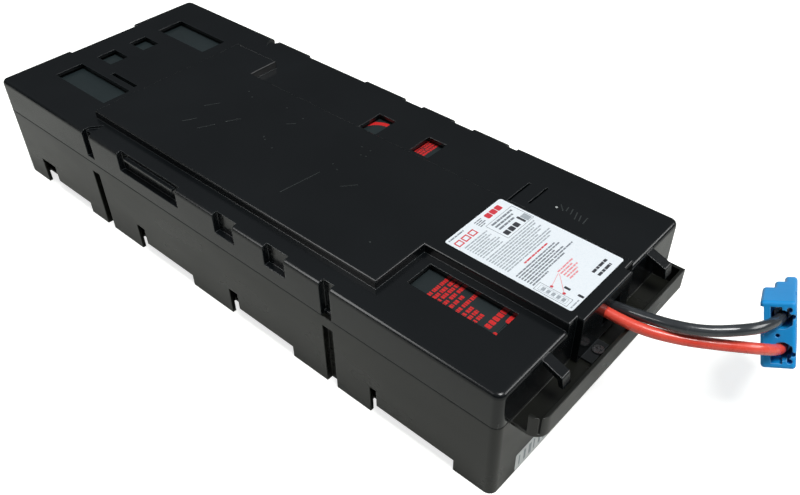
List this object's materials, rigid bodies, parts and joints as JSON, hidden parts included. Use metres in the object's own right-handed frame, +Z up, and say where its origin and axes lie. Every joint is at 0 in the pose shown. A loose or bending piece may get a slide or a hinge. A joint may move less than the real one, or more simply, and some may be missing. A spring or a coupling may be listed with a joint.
{
  "type": "ups battery cartridge",
  "caption": "Long black cartridge of a lower tray and an upper cover, holding sealed batteries in a row, with two stiff leads ending in a blue two-pole connector.",
  "frame": {"origin": "middle of the case's footprint, the cable trough included, on the surface it stands on", "axes": "+X across the case towards its far long side, +Y along the case away from the leads, +Z up"},
  "size_m": [0.1915, 0.5473, 0.0862],
  "materials": {
    "tray_plastic": "semi-gloss",
    "cover_plastic": "glossy",
    "screw_steel": "zinc",
    "terminal_tin": "tinned",
    "receptacle_tin": "tinned",
    "vent_plastic": "matte",
    "battery_plastic": "satin",
    "jumper_insulation": "satin",
    "red_insulation": "glossy",
    "black_insulation": "glossy",
    "connector_plastic": "satin",
    "contact_silver": "silvered",
    "label_paper": "satin",
    "sticker_paper": "satin"
  },
  "bodies": {
    "root": {"battery_1": "battery_plastic", "battery_1_receptacle_minus": "receptacle_tin", "battery_1_receptacle_plus": "receptacle_tin", "battery_1_terminal_minus": "terminal_tin", "battery_1_terminal_plus": "terminal_tin", "battery_1_vent_strip": "vent_plastic", "battery_2": "battery_plastic", "battery_2_receptacle_minus": "receptacle_tin", "battery_2_receptacle_plus": "receptacle_tin", "battery_2_terminal_minus": "terminal_tin", "battery_2_terminal_plus": "terminal_tin", "battery_2_vent_strip": "vent_plastic", "battery_3": "battery_plastic", "battery_3_receptacle_minus": "receptacle_tin", "battery_3_receptacle_plus": "receptacle_tin", "battery_3_terminal_minus": "terminal_tin", "battery_3_terminal_plus": "terminal_tin", "battery_3_vent_strip": "vent_plastic", "battery_4": "battery_plastic", "battery_4_receptacle_minus": "receptacle_tin", "battery_4_receptacle_plus": "receptacle_tin", "battery_4_terminal_minus": "terminal_tin", "battery_4_terminal_plus": "terminal_tin", "battery_4_vent_strip": "vent_plastic", "black_lead": "black_insulation", "black_lead_inside": "black_insulation", "connector_contact_black": "contact_silver", "connector_contact_red": "contact_silver", "connector_housing": "connector_plastic", "cover_screw": "screw_steel", "front_sticker": "sticker_paper", "jumper_1_2": "jumper_insulation", "jumper_2_3": "jumper_insulation", "jumper_3_4": "jumper_insulation", "lower_tray": "tray_plastic", "red_lead": "red_insulation", "red_lead_inside": "red_insulation", "top_label": "label_paper", "upper_cover": "cover_plastic"}
  },
  "joints": []
}
